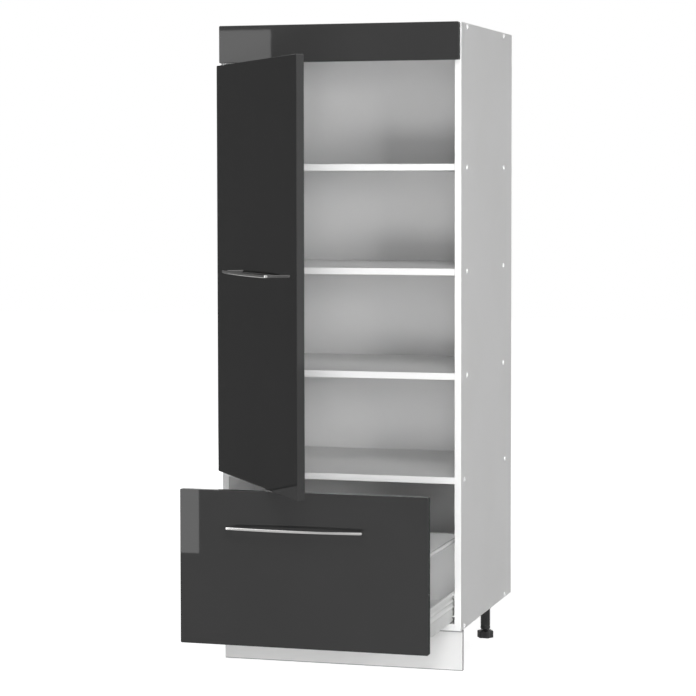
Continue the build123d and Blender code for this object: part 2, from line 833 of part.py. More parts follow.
drawer_front = front_board(base_height, drawer_front_top)
for screw in handle_screws_for(drawer_handle_offset, drawer_handle_z):
    drawer_front -= screw
for side in (-1, 1):
    for screw in front_bracket_screws(side):
        drawer_front -= screw
save("drawer_front", pose_drawer(drawer_front))
save("drawer_handle", pose_drawer(drilled_handle(drawer_handle_offset, drawer_handle_z)))
save("drawer_handle_screws", *[pose_drawer(screw) for screw in handle_screws_for(
    drawer_handle_offset, drawer_handle_z)])

drawer_back = block(-drawer_board_half, drawer_board_half, drawer_back_front_y, drawer_rear_y,
                    drawer_board_top, drawer_back_top_z)
drawer_back = round_edges(drawer_back, edge_round)
for side in (-1, 1):
    drawer_back -= holder_screw(side)
save("drawer_back", pose_drawer(drawer_back))
drawer_floor = block(-drawer_board_half, drawer_board_half, front_inner_y, drawer_rear_y,
                     drawer_bottom_z + sheet, drawer_board_top)
save("drawer_bottom", pose_drawer(round_edges(drawer_floor, edge_round)))

drawer_buffer_x = half_width - board / 2
save("drawer_buffers", *[pose_drawer(buffer(side * drawer_buffer_x, drawer_front_top - buffer_inset_z))
                         for side in (-1, 1)])
for side, word in ((-1, "left"), (1, "right")):
    save(f"drawer_side_{word}", pose_drawer(drawer_side(side)))
    save(f"gallery_rail_{word}", pose_drawer(rail(side)))
    save(f"runner_{word}", runner(side))
    save(f"front_roller_{word}", roller(side, front_roller_y, front_roller_z))
    rear_y = drawer_rear_y - rear_roller_inset
    save(f"rear_roller_{word}", pose_drawer(roller(side, rear_y, rear_roller_z)))
save("rail_sockets", *[pose_drawer(rail_socket(side)) for side in (-1, 1)])
save("rail_holders", *[pose_drawer(rail_holder(side)) for side in (-1, 1)])
save("front_brackets", *[pose_drawer(front_bracket(side)) for side in (-1, 1)])
save("drawer_screws", *[pose_drawer(screw) for side in (-1, 1)
                        for screw in front_bracket_screws(side) + [holder_screw(side)]])
save("runner_screws", *[screw for side in (-1, 1) for screw in runner_screws_for(side)])
save("front_roller_pins", *[roller_pin_front(side) for side in (-1, 1)])
save("rear_roller_pins", *[pose_drawer(roller_pin_rear(side)) for side in (-1, 1)])
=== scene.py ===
import bmesh
import bpy
import json
from math import atan2, cos, pi, radians, sin
from mathutils import Matrix, Vector


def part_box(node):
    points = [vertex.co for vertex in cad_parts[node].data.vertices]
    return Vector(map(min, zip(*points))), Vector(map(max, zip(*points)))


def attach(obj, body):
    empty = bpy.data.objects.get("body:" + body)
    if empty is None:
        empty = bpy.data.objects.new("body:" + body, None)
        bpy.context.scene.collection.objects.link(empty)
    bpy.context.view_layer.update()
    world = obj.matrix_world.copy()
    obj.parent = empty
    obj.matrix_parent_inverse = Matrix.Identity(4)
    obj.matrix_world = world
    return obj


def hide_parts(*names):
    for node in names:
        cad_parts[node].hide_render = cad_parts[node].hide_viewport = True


# Looks of a tall pantry cabinet, in metres, in the same frame as its solids:
# X across the width, the fronts face -Y, +Z is up and the floor is at 0.

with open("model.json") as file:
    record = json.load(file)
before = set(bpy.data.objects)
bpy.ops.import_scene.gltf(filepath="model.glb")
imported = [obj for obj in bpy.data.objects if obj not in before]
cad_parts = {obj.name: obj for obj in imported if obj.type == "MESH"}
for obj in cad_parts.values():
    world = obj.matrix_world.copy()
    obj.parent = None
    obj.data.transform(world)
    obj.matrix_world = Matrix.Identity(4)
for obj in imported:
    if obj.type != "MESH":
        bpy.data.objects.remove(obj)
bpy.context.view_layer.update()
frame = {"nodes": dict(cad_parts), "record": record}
nodes = frame["nodes"]
scene = bpy.context.scene
scene.view_settings.view_transform = "Standard"


# Effects that several finishes share

FLOAT, COLOUR, VECTOR = "NodeSocketFloat", "NodeSocketColor", "NodeSocketVector"


def shared_effect(name, inputs, outputs):
    """A shader group with named inputs and outputs, and its two end nodes."""
    group = bpy.data.node_groups.new(name, "ShaderNodeTree")
    for label, kind, value in inputs:
        socket = group.interface.new_socket(label, in_out="INPUT", socket_type=kind)
        socket.default_value = value
    for label, kind in outputs:
        group.interface.new_socket(label, in_out="OUTPUT", socket_type=kind)
    return group, group.nodes.new("NodeGroupInput"), group.nodes.new("NodeGroupOutput")


def feed(tree, socket, value):
    """Link a socket to another one, or set a plain value on it."""
    if isinstance(value, bpy.types.NodeSocket):
        tree.links.new(value, socket)
    else:
        socket.default_value = value


def object_place(tree):
    """Where a point of the surface lies, in the object's own coordinates."""
    return tree.nodes.new("ShaderNodeTexCoord").outputs["Object"]


def object_parts(tree):
    """The same place as an X, a Y and a Z."""
    parts = tree.nodes.new("ShaderNodeSeparateXYZ")
    tree.links.new(object_place(tree), parts.inputs["Vector"])
    return parts.outputs


def object_noise(tree, scale, detail, stretch=None):
    """A noise on that place; its scale is a number or a socket, its stretch a socket."""
    place = object_place(tree)
    if stretch is not None:
        stretched = tree.nodes.new("ShaderNodeVectorMath")
        stretched.operation = "MULTIPLY"
        tree.links.new(place, stretched.inputs[0])
        tree.links.new(stretch, stretched.inputs[1])
        place = stretched.outputs[0]
    noise = tree.nodes.new("ShaderNodeTexNoise")
    noise.inputs["Detail"].default_value = detail
    tree.links.new(place, noise.inputs["Vector"])
    feed(tree, noise.inputs["Scale"], scale)
    return noise.outputs["Fac"]


def maths(tree, operation, *values):
    """One sum on sockets or numbers."""
    node = tree.nodes.new("ShaderNodeMath")
    node.operation = operation
    for socket, value in zip(node.inputs, values):
        feed(tree, socket, value)
    return node.outputs[0]


def ramp(tree, value, low, high, to_low=0.0, to_high=1.0):
    """A number taken smoothly from one range to another."""
    node = tree.nodes.new("ShaderNodeMapRange")
    node.interpolation_type = "SMOOTHSTEP"
    for label, number in (("Value", value), ("From Min", low), ("From Max", high), ("To Min", to_low),
                          ("To Max", to_high)):
        feed(tree, node.inputs[label], number)
    return node.outputs["Result"]


def blend_colours(tree, factor, first, second):
    """A mix of two colours, each a socket or a colour."""
    node = tree.nodes.new("ShaderNodeMix")
    node.data_type = "RGBA"
    # The node's sockets for colours come after those for numbers and vectors
    factor_at, first_at, second_at, result_at = 0, 6, 7, 2
    feed(tree, node.inputs[factor_at], factor)
    feed(tree, node.inputs[first_at], first)
    feed(tree, node.inputs[second_at], second)
    return node.outputs[result_at]


def rgb(level, tint=(1, 1, 1)):
    """A grey of one level, or that level of a tint."""
    return (level * tint[0], level * tint[1], level * tint[2], 1)


def make_clouding():
    """Slow and fine variation of a colour, with a roughness and a grain height that go with it."""
    group, start, end = shared_effect(
        "clouding",
        [("Colour", COLOUR, (1, 1, 1, 1)), ("Shade", COLOUR, (0.9, 0.9, 0.9, 1)), ("Scale", FLOAT, 6.0),
         ("Grain Scale", FLOAT, 900.0), ("Roughness", FLOAT, 0.4), ("Roughness Spread", FLOAT, 0.08)],
        [("Colour", COLOUR), ("Roughness", FLOAT), ("Grain", FLOAT)])
    fine_share, middle = 0.35, 0.5
    slow = object_noise(group, start.outputs["Scale"], 3.0)
    grain = object_noise(group, start.outputs["Grain Scale"], 2.0)
    both = maths(group, "MULTIPLY_ADD", grain, fine_share, maths(group, "MULTIPLY", slow, 1 - fine_share))
    factor = ramp(group, both, middle - 0.15, middle + 0.15)
    colour = blend_colours(group, factor, start.outputs["Colour"], start.outputs["Shade"])
    swing = maths(group, "SUBTRACT", both, middle)
    rough = maths(group, "MULTIPLY_ADD", swing, start.outputs["Roughness Spread"], start.outputs["Roughness"])
    group.links.new(colour, end.inputs["Colour"])
    group.links.new(rough, end.inputs["Roughness"])
    group.links.new(grain, end.inputs["Grain"])
    return group


def make_band_line():
    """The hairline where an edge band meets the board, at a set depth behind the front edge."""
    group, start, end = shared_effect(
        "band_line", [("Depth", FLOAT, 0.001), ("Width", FLOAT, 0.00025)], [("Mask", FLOAT)])
    depth = object_parts(group)["Y"]
    away = maths(group, "ABSOLUTE", maths(group, "SUBTRACT", depth, start.outputs["Depth"]))
    mask = maths(group, "LESS_THAN", away, start.outputs["Width"])
    group.links.new(mask, end.inputs["Mask"])
    return group


def make_pressed_wood():
    """Pressed wood flakes, for the raw rear edges of boards and the rear of the back."""
    group, start, end = shared_effect(
        "pressed_wood", [("Flake Scale", FLOAT, 260.0), ("Light", COLOUR, (0.52, 0.36, 0.2, 1)),
                         ("Dark", COLOUR, (0.2, 0.115, 0.055, 1))],
        [("Colour", COLOUR), ("Height", FLOAT)])
    flakes = group.nodes.new("ShaderNodeTexVoronoi")
    flakes.distance = "CHEBYCHEV"
    group.links.new(object_place(group), flakes.inputs["Vector"])
    group.links.new(start.outputs["Flake Scale"], flakes.inputs["Scale"])
    tones = group.nodes.new("ShaderNodeSeparateColor")
    group.links.new(flakes.outputs["Color"], tones.inputs[0])
    dust = object_noise(group, 1400.0, 4.0)
    half = 0.5
    factor = maths(group, "MULTIPLY_ADD", dust, half, maths(group, "MULTIPLY", tones.outputs[0], half))
    colour = blend_colours(group, factor, start.outputs["Dark"], start.outputs["Light"])
    group.links.new(colour, end.inputs["Colour"])
    group.links.new(factor, end.inputs["Height"])
    return group


def make_behind():
    """A mask of all that lies further back than a set depth."""
    group, start, end = shared_effect("behind", [("Depth", FLOAT, 0.5)], [("Mask", FLOAT)])
    mask = maths(group, "GREATER_THAN", object_parts(group)["Y"], start.outputs["Depth"])
    group.links.new(mask, end.inputs["Mask"])
    return group


def make_brushing():
    """Fine streaks along X, Y or Z."""
    group, start, end = shared_effect(
        "brushing", [("Streaks", VECTOR, (30, 900, 900))], [("Streak", FLOAT)])
    streak = object_noise(group, 1.0, 3.0, start.outputs["Streaks"])
    group.links.new(streak, end.inputs["Streak"])
    return group


clouding = make_clouding()
band_line = make_band_line()
pressed_wood = make_pressed_wood()
behind = make_behind()
brushing = make_brushing()


# Finishes

def effect(tree, group, **values):
    """Place a shared effect in a finish and set its own values."""
    node = tree.nodes.new("ShaderNodeGroup")
    node.node_tree = group
    for label, value in values.items():
        node.inputs[label.replace("_", " ")].default_value = value
    return node.outputs


def new_finish(name, **shader_values):
    """A material with a principled shader whose plain values are set on its own sockets."""
    finish = bpy.data.materials.new(name)
    finish.use_nodes = True
    tree = finish.node_tree
    shader = tree.nodes["Principled BSDF"]
    for label, value in shader_values.items():
        shader.inputs[label.replace("_", " ")].default_value = value
    return finish, tree, shader


def clouded_finish(name, colour, shade, scale, grain_scale, roughness, spread, **shader_values):
    """A finish whose colour and roughness vary slowly and finely, and what the effect gives."""
    finish, tree, shader = new_finish(name, **shader_values)
    base = effect(tree, clouding, Colour=colour, Shade=shade, Scale=scale, Grain_Scale=grain_scale,
                  Roughness=roughness, Roughness_Spread=spread)
    tree.links.new(base["Colour"], shader.inputs["Base Color"])
    tree.links.new(base["Roughness"], shader.inputs["Roughness"])
    return finish, tree, shader, base


def bumped(tree, shader, height, distance):
    """Feed a height to the shader's normal."""
    bump = tree.nodes.new("ShaderNodeBump")
    bump.inputs["Distance"].default_value = distance
    tree.links.new(height, bump.inputs["Height"])
    tree.links.new(bump.outputs["Normal"], shader.inputs["Normal"])


def raw_behind(tree, shader, base, colour, depth, roughness, relief, bump_distance, **wood_values):
    """Bare pressed wood behind a set depth: it sets roughness and bump, and gives the colour back."""
    wood = effect(tree, pressed_wood, **wood_values)
    raw = effect(tree, behind, Depth=depth)["Mask"]
    rough = maths(tree, "MAXIMUM", base["Roughness"], maths(tree, "MULTIPLY", raw, roughness))
    tree.links.new(rough, shader.inputs["Roughness"])
    height = maths(tree, "MULTIPLY_ADD", wood["Height"], maths(tree, "MULTIPLY", raw, relief), base["Grain"])
    bumped(tree, shader, height, bump_distance)
    return blend_colours(tree, raw, colour, wood["Colour"])


def board_finish(name, band_depth, raw_from, white=0.86, seal_and_shadow_bands=None):
    """White melamine with a pearl grain, a band line behind the front edge and raw rear edges.

    Given two heights, a grey band runs along the face below the first and above the second: the lower band is
    a seal and painted contact shadow at the floor, the upper one is painted shadow under the carcass.
    """
    finish, tree, shader, base = clouded_finish(
        name, rgb(white), rgb(white * 0.975, (1, 1, 0.995)), scale=4.0, grain_scale=1500.0,
        roughness=0.42, spread=0.14)
    line_cover, line_grey, seal_and_shadow_grey = 0.45, 0.3, 0.34
    line = effect(tree, band_line, Depth=band_depth, Width=0.00018)["Mask"]
    lined = blend_colours(tree, maths(tree, "MULTIPLY", line, line_cover), base["Colour"], rgb(line_grey))
    colour = raw_behind(tree, shader, base, lined, raw_from, roughness=0.85, relief=6.0,
                        bump_distance=0.00004)
    # Grey bands along the bottom and top of the face: painted contact shadow at the floor, the lower band
    # also a seal, and painted shadow under the carcass
    if seal_and_shadow_bands:
        height = object_parts(tree)["Z"]
        below = maths(tree, "LESS_THAN", height, seal_and_shadow_bands[0])
        above = maths(tree, "GREATER_THAN", height, seal_and_shadow_bands[1])
        colour = blend_colours(tree, maths(tree, "ADD", below, above), colour, rgb(seal_and_shadow_grey))
    tree.links.new(colour, shader.inputs["Base Color"])
    return finish


def back_finish():
    """Thin fibreboard: lacquered inside, raw brown behind."""
    finish, tree, shader, base = clouded_finish(
        "lacquered_back", rgb(0.72), rgb(0.7), scale=5.0, grain_scale=800.0, roughness=0.5, spread=0.1)
    raw_from = 0.5465
    colour = raw_behind(tree, shader, base, base["Colour"], raw_from, roughness=0.8, relief=4.0,
                        bump_distance=0.00003, Flake_Scale=900.0, Light=(0.3, 0.19, 0.105, 1),
                        Dark=(0.17, 0.1, 0.052, 1))
    tree.links.new(colour, shader.inputs["Base Color"])
    return finish


def gloss_finish():
    """Anthracite high gloss foil, with the faint waviness of a pressed board under it."""
    finish, tree, shader, base = clouded_finish(
        "gloss_anthracite", rgb(0.021), rgb(0.0235), scale=3.0, grain_scale=700.0, roughness=0.04,
        spread=0.03)
    wave = object_noise(tree, 38.0, 1.0)
    bumped(tree, shader, wave, 0.00002)
    return finish


def metal_finish(name, level, tint, roughness, spread, streaks, scale=12.0):
    """A plated metal with fine streaks and a slightly uneven tone."""
    finish, tree, shader, base = clouded_finish(
        name, rgb(level, tint), rgb(level * 0.86, tint), scale=scale, grain_scale=1100.0,
        roughness=roughness, spread=spread, Metallic=1.0)
    streak = effect(tree, brushing, Streaks=streaks)["Streak"]
    rough = maths(tree, "MULTIPLY_ADD", streak, spread, base["Roughness"])
    tree.links.new(rough, shader.inputs["Roughness"])
    bumped(tree, shader, streak, 0.000006)
    return finish


def coat_finish(name, level, tint, roughness, grain_scale, depth):
    """Powder coat or moulded plastic: one colour with a fine skin."""
    finish, tree, shader, base = clouded_finish(
        name, rgb(level, tint), rgb(level * 0.93, tint), scale=9.0, grain_scale=grain_scale,
        roughness=roughness, spread=0.12)
    bumped(tree, shader, base["Grain"], depth)
    return finish


# How far back the band line, the front edges of the shelves and the raw rear edges lie
band_depth, shelf_setback, raw_depth = 0.001, 0.003, 0.5592

# Depths outside the cabinet, for boards that show no band line and no raw edge
no_band, no_raw = -2.0, 9.0

# A metal has its level, tint, roughness and spread, streaks and scale; a coat has its level, tint,
# roughness, grain scale and grain depth
# Heights of the plinth's grey bands: below the first, a seal and painted contact shadow at the floor; above
# the second, painted shadow of the gap under the carcass
plinth_seal_and_shadow_bands = (0.0032, 0.0945)
neutral = (1, 1, 1)
finishes = {
    "white_board": board_finish("white_melamine", band_depth, raw_depth),
    "shelf_board": board_finish("white_melamine_shelf", shelf_setback + band_depth, raw_depth),
    # The plinth is the white board made darker, 0.76 against 0.86: painted shade of the drawer above it
    "plinth_board": board_finish("white_melamine_plinth_painted_shade", no_band, no_raw, 0.76, plinth_seal_and_shadow_bands),
    "drawer_board": board_finish("white_melamine_drawer", no_band, no_raw),
    "back_board": back_finish(),
    "gloss_front": gloss_finish(),
    "handle_metal": metal_finish("satin_nickel", 0.82, (1, 0.992, 0.98), 0.15, 0.08, (25, 900, 900)),
    "coated_steel": coat_finish("grey_epoxy_coat", 0.95, (0.99, 1, 0.985), 0.34, 1300.0, 0.00002),
    "rail_coat": coat_finish("pale_rail_coat", 0.95, neutral, 0.2, 1300.0, 0.00001),
    "zinc_steel": metal_finish("zinc_plate", 0.62, (0.97, 0.99, 1.04), 0.26, 0.12, (400, 400, 90), 60.0),
    "hinge_steel": metal_finish("nickel_plate", 0.64, (1, 0.99, 0.975), 0.18, 0.1, (300, 300, 300), 40.0),
    "black_plastic": coat_finish("black_moulding", 0.02, (1, 1, 1.03), 0.46, 1800.0, 0.00003),
    "white_plastic": coat_finish("white_moulding", 0.9, (1, 1, 0.99), 0.3, 1500.0, 0.00001),
    "cap_gloss": coat_finish("white_cap_gloss", 0.95, neutral, 0.03, 1500.0, 0.000002),
    "buffer_rubber": coat_finish("soft_pad", 0.5, (1, 1, 0.98), 0.3, 900.0, 0.00001),
}
own_finishes = {"shelf_1": "shelf_board", "shelf_2": "shelf_board", "shelf_3": "shelf_board",
                "plinth_panel": "plinth_board", "drawer_bottom": "drawer_board",
                "drawer_back": "drawer_board"}
for subpart in frame["record"]["subparts"]:
    name = subpart["node"]
    materials = nodes[name].data.materials
    materials.clear()
    materials.append(finishes[own_finishes.get(name, subpart["material_slot"])])


# Places and sizes of the solids that the pieces below dress

sides = (-1, 1)
half_width, inner_half = 0.3, 0.284
front_inner_y = -0.002
leg_x, leg_front_y, leg_rear_y = 0.257, 0.064, 0.45
leg_places = {"front_left": (-leg_x, leg_front_y), "front_right": (leg_x, leg_front_y),
              "rear_left": (-leg_x, leg_rear_y), "rear_right": (leg_x, leg_rear_y)}
leg_screw_circle = 0.022
downward, rightward, forward, rearward = (0, 0, -1), (1, 0, 0), (0, -1, 0), (0, 1, 0)

# The door turns on its cup pins, while the links turn back on the arm pins by a fifth of its opening
door_angle = radians(53.7)
link_share = 0.2
arm_pin = Vector((-0.258, 0.002, 0))
cup_pin = Vector((-0.291, -0.0034, 0))
swung_pin = arm_pin + Matrix.Rotation(link_share * door_angle, 3, "Z") @ (cup_pin - arm_pin)
door_pose = (Matrix.Translation(swung_pin) @ Matrix.Rotation(-door_angle, 4, "Z")
             @ Matrix.Translation(-cup_pin))
hinge_heights = (0.56175, 1.084, 1.35925)
cup_x, cup_flange_y, cup_screw_spread = -0.2775, -0.0008, 0.0225
plate_face_x, plate_screw_y, plate_screw_spread = -0.281, 0.037, 0.016
arm_top_x = -0.262

drawer_pose = Matrix.Translation((0, -0.29, 0))
drawer_length, drawer_sheet = 0.5, 0.0012
drawer_bottom_z, drawer_side_top = 0.12, 0.1925
side_outer_x = 0.276
drawer_back_y, drawer_back_top_z = 0.482, 0.3043
saddle_x, saddle_sheet, saddle_screw_drop = 0.27, 0.0015, 0.012
runner_sheet, runner_front_y = 0.0011, 0.004
runner_screw_steps = (0.05, 0.245, 0.44)
rear_roller_z = 0.141

bracket_sheet, bracket_leg, bracket_z = 0.002, 0.034, 1.5
angle_sheet, angle_width, angle_screw_z = 0.0015, 0.013, 0.1612
handle_half_spacing, door_handle_z = 0.16, 0.9605
drawer_handle_x, drawer_handle_z = -0.014, 0.3765


# Ways of making pieces

def verts_in(geom):
    """The vertices among the geometry that an operator gives back."""
    return [found for found in geom if isinstance(found, bmesh.types.BMVert)]


def towards(place, direction):
    """The turn and move that take a part made along +Z to a place and direction."""
    return Matrix.Translation(place) @ Vector(direction).to_track_quat("Z", "Y").to_matrix().to_4x4()


def add(bm, part, matrix=None):
    """Put one finished part into a piece."""
    if matrix is not None:
        part.transform(matrix)
    mesh = bpy.data.meshes.new("part")
    part.to_mesh(mesh)
    part.free()
    bm.from_mesh(mesh)
    bpy.data.meshes.remove(mesh)


def ease(bm, geom, width, segments, affect="EDGES"):
    """Round edges, or the corners of a flat outline."""
    bmesh.ops.bevel(bm, geom=geom, offset=width, offset_type="OFFSET", segments=segments, profile=0.5,
                    affect=affect, material=-1)


def turned(profile, steps, closed=False):
    """A closed round part from a line or loop of (radius, height) points, turned about Z."""
    bm = bmesh.new()
    corners = [bm.verts.new((radius, 0, height)) for radius, height in profile]
    line = [bm.edges.new(pair) for pair in zip(corners, corners[1:])]
    if closed:
        line.append(bm.edges.new((corners[-1], corners[0])))
    bmesh.ops.spin(bm, geom=corners + line, cent=(0, 0, 0), axis=(0, 0, 1), angle=2 * pi, steps=steps,
                   use_merge=True)
    bmesh.ops.remove_doubles(bm, verts=bm.verts, dist=0.000002)
    bmesh.ops.recalc_face_normals(bm, faces=bm.faces)
    return bm


def sheet_outline(points, holes=(), segments=4):
    """A flat face in XY; a point is (x, y) or (x, y, corner radius), a hole (x, y, radius, extra length)."""
    bm = bmesh.new()
    face = bm.faces.new([bm.verts.new((point[0], point[1], 0)) for point in points])
    for vert, point in zip(list(face.verts), points):
        if len(point) > 2 and point[2]:
            ease(bm, [vert], point[2], segments, "VERTICES")
    bmesh.ops.delete(bm, geom=list(bm.faces), context="FACES_ONLY")
    for x, y, radius, extra in holes:
        for vert in bmesh.ops.create_circle(bm, cap_ends=False, segments=16, radius=radius)["verts"]:
            vert.co.x += x + (extra / 2 if vert.co.x > 0 else -extra / 2)
            vert.co.y += y
    bmesh.ops.triangle_fill(bm, edges=list(bm.edges), use_beauty=True)
    return bm


def plate(points, thickness, corner=0.0, edge=0.0, segments=4):
    """A flat plate in XY with rounded corners and eased rims."""
    bm = sheet_outline([point if len(point) > 2 else (*point, corner) for point in points],
                       segments=segments)
    lifted = bmesh.ops.extrude_face_region(bm, geom=list(bm.faces))["geom"]
    bmesh.ops.translate(bm, vec=(0, 0, thickness), verts=verts_in(lifted))
    bmesh.ops.recalc_face_normals(bm, faces=bm.faces)
    if edge:
        sharp = radians(50)
        rims = [found for found in bm.edges
                if len(found.link_faces) == 2 and found.calc_face_angle() > sharp
                and abs(found.verts[0].co.z - found.verts[1].co.z) < thickness / 2]
        ease(bm, rims, edge, 2)
    return bm


def eased_block(low, high, edge):
    """A block between two corners with its edges eased."""
    bm = bmesh.new()
    bmesh.ops.create_cube(bm, size=1)
    bmesh.ops.scale(bm, vec=[b - a for a, b in zip(low, high)], verts=bm.verts)
    bmesh.ops.translate(bm, vec=[(a + b) / 2 for a, b in zip(low, high)], verts=bm.verts)
    ease(bm, list(bm.edges), edge, 2)
    return bm


def folded_sheet(points, length, thickness, bend, crimp):
    """A sheet folded along a line of (x, z) points, running along +Y, with wide bends and tighter crimps."""
    bm = bmesh.new()
    line = [bm.verts.new((x, 0, z)) for x, z in points]
    edges = [bm.edges.new(pair) for pair in zip(line, line[1:])]
    grown = bmesh.ops.extrude_edge_only(bm, edges=edges)["geom"]
    bmesh.ops.translate(bm, vec=(0, length, 0), verts=verts_in(grown))
    folds = [found for found in bm.edges if len(found.link_faces) == 2]
    square = [fold for fold in folds if fold.calc_face_angle() > radians(60)]
    crimps = [fold for fold in folds if fold not in square]
    for edges, width in ((square, bend), (crimps, crimp)):
        ease(bm, [edge for edge in edges if edge.is_valid], width, 3)
    bmesh.ops.solidify(bm, geom=list(bm.faces), thickness=-thickness)
    bmesh.ops.recalc_face_normals(bm, faces=bm.faces)
    return bm


def fold_edge(bm, edges, away, inward, bend, length):
    """Carry a sheet's straight edge round a right angle of a set bend and on by a length."""
    away, inward = Vector(away), Vector(inward)
    steps = 4
    moves = []
    for n in range(steps):
        before, after = pi / 2 * n / steps, pi / 2 * (n + 1) / steps
        moves.append(bend * ((sin(after) - sin(before)) * away + (cos(before) - cos(after)) * inward))
    for move in moves + [length * inward]:
        grown = bmesh.ops.extrude_edge_only(bm, edges=edges)["geom"]
        verts = verts_in(grown)
        bmesh.ops.translate(bm, vec=move, verts=verts)
        edges = [found for found in grown if isinstance(found, bmesh.types.BMEdge)
                 and found.verts[0] in verts and found.verts[1] in verts]


def open_edges(bm, axis, value):
    """The open edges of a sheet that lie on one line."""
    return [edge for edge in bm.edges if len(edge.link_faces) == 1
            and all(abs(vert.co[axis] - value) < 0.000001 for vert in edge.verts)]


def stood_up(bm, thickness, place):
    """Give a flat sheet its thickness, and stand it at a place with its X along Y and its Y along Z."""
    bmesh.ops.solidify(bm, geom=list(bm.faces), thickness=thickness)
    bmesh.ops.recalc_face_normals(bm, faces=bm.faces)
    upright = Matrix(((0, 0, 1, 0), (1, 0, 0, 0), (0, 1, 0, 0), (0, 0, 0, 1)))
    bm.transform(Matrix.Translation(place) @ upright)
    return bm


def mirrored(part):
    """The same part for the other side of the cabinet."""
    bmesh.ops.scale(part, vec=(-1, 1, 1), verts=part.verts)
    bmesh.ops.reverse_faces(part, faces=part.faces)
    return part


def grow_rim(bm, edges, scale, rise):
    """Extrude a closed rim, scaled about Z and moved up, and give back the new rim."""
    grown = bmesh.ops.extrude_edge_only(bm, edges=edges)["geom"]
    verts = verts_in(grown)
    bmesh.ops.scale(bm, vec=(scale, scale, 1), verts=verts)
    bmesh.ops.translate(bm, vec=(0, 0, rise), verts=verts)
    return [found for found in grown if isinstance(found, bmesh.types.BMEdge)
            and found.verts[0] in verts and found.verts[1] in verts and len(found.link_faces) == 1]


def cross_screw(head_radius, head_height, shank_radius, length):
    """A screw along -Z from a domed head on the plane z = 0, with a cross recess."""
    bm = bmesh.new()
    flat = head_radius * 0.66
    ring = bmesh.ops.create_circle(bm, cap_ends=False, segments=24, radius=flat)["verts"]
    rim = list({link for vert in ring for link in vert.link_edges})
    arm, half = head_radius * 0.5, head_radius * 0.11
    corners = [(arm, -half), (arm, half), (half, half), (half, arm), (-half, arm), (-half, half),
               (-arm, half), (-arm, -half), (-half, -half), (-half, -arm), (half, -arm), (half, -half)]
    cross = [bm.verts.new((x, y, 0)) for x, y in corners]
    slot = [bm.edges.new(pair) for pair in zip(cross, cross[1:] + cross[:1])]
    bmesh.ops.triangle_fill(bm, edges=rim + slot, use_beauty=True)
    bmesh.ops.translate(bm, vec=(0, 0, head_height), verts=bm.verts)
    well = grow_rim(bm, slot, 0.62, -min(head_height * 0.9, head_radius * 0.5))
    bmesh.ops.holes_fill(bm, edges=well, sides=0)
    # The dome in three steps, then the seat, the shank and its tip
    dome = 1.3
    for scale, drop in ((dome, head_height * 0.16), (head_radius / (flat * dome), head_height * 0.34),
                        (1.0, head_height * 0.5), (shank_radius / head_radius, 0), (1.0, length),
                        (0.2, shank_radius)):
        rim = grow_rim(bm, rim, scale, -drop)
    bmesh.ops.holes_fill(bm, edges=rim, sides=0)
    bmesh.ops.recalc_face_normals(bm, faces=bm.faces)
    return bm


def new_object(name, bm):
    """A finished mesh as an object of the scene."""
    mesh = bpy.data.meshes.new(name)
    bm.to_mesh(mesh)
    bm.free()
    made = bpy.data.objects.new(name, mesh)
    scene.collection.objects.link(made)
    return made


def settle(name, bm, body, slot, stands_for=(), pose=None, crease=38, finish=None):
    """Close a piece's seams, shade it, give it its finish and let it ride on its body."""
    bmesh.ops.remove_doubles(bm, verts=bm.verts, dist=0.000001)
    if pose is not None:
        bm.transform(pose)
    for face in bm.faces:
        face.smooth = True
    for edge in bm.edges:
        edge.smooth = len(edge.link_faces) == 2 and edge.calc_face_angle() < radians(crease)
    piece = new_object(name, bm)
    piece.data.materials.append(finishes[finish or slot])
    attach(piece, body)
    if stands_for:
        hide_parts(*stands_for)


def soften(node, width):
    """Merge a solid's triangles and ease its sharp edges, without changing its mesh."""
    merged = nodes[node].modifiers.new("weld", "WELD")
    merged.merge_threshold = 0.00001
    eased = nodes[node].modifiers.new("ease", "BEVEL")
    eased.width = width
    eased.segments = 2
    eased.limit_method = "ANGLE"
    eased.angle_limit = radians(50)
    eased.harden_normals = False


# Legs and feet

def leg_screw_spots():
    """Where a leg's four screws stand round its middle."""
    angles = [radians(45 + 90 * quarter) for quarter in range(4)]
    return [(leg_screw_circle * cos(angle), leg_screw_circle * sin(angle)) for angle in angles]


def leg_socket():
    """A moulded leg: round plate, tapered tube with rings, four gussets and a bore."""
    leg = turned([(0, 0.08), (0.0071, 0.08), (0.0071, 0.0222), (0.0076, 0.022), (0.0117, 0.022),
                  (0.0125, 0.0228), (0.0125, 0.0292), (0.0119, 0.0304), (0.0117, 0.0304), (0.0119, 0.0735),
                  (0.0125, 0.0748), (0.0125, 0.0768), (0.0122, 0.0778), (0.0128, 0.088), (0.0152, 0.0946),
                  (0.0172, 0.096), (0.0292, 0.096), (0.03, 0.0967), (0.03, 0.0993), (0.0294, 0.1), (0, 0.1)],
                 48)
    gusset_width = 0.003
    for quarter, spot in enumerate(leg_screw_spots()):
        gusset = plate([(0.0105, 0.0965), (0.0272, 0.0965), (0.0272, 0.0928), (0.0142, 0.0752),
                        (0.0105, 0.0752)], gusset_width, 0.0008, edge=0.0004)
        place = Matrix.Rotation(radians(90 * quarter), 4, "Z") @ Matrix.Rotation(radians(90), 4, "X")
        add(leg, gusset, place @ Matrix.Translation((0, 0, -gusset_width / 2)))
        boss = turned([(0, 0.0952), (0.0042, 0.0952), (0.0047, 0.0957), (0.0047, 0.0965), (0, 0.0965)], 20)
        add(leg, boss, Matrix.Translation((*spot, 0)))
    for rib in range(8):
        strip = eased_block((0.0112, -0.0006, 0.031), (0.0124, 0.0006, 0.073), 0.0003)
        add(leg, strip, Matrix.Rotation(radians(22.5 + 45 * rib), 4, "Z"))
    return leg


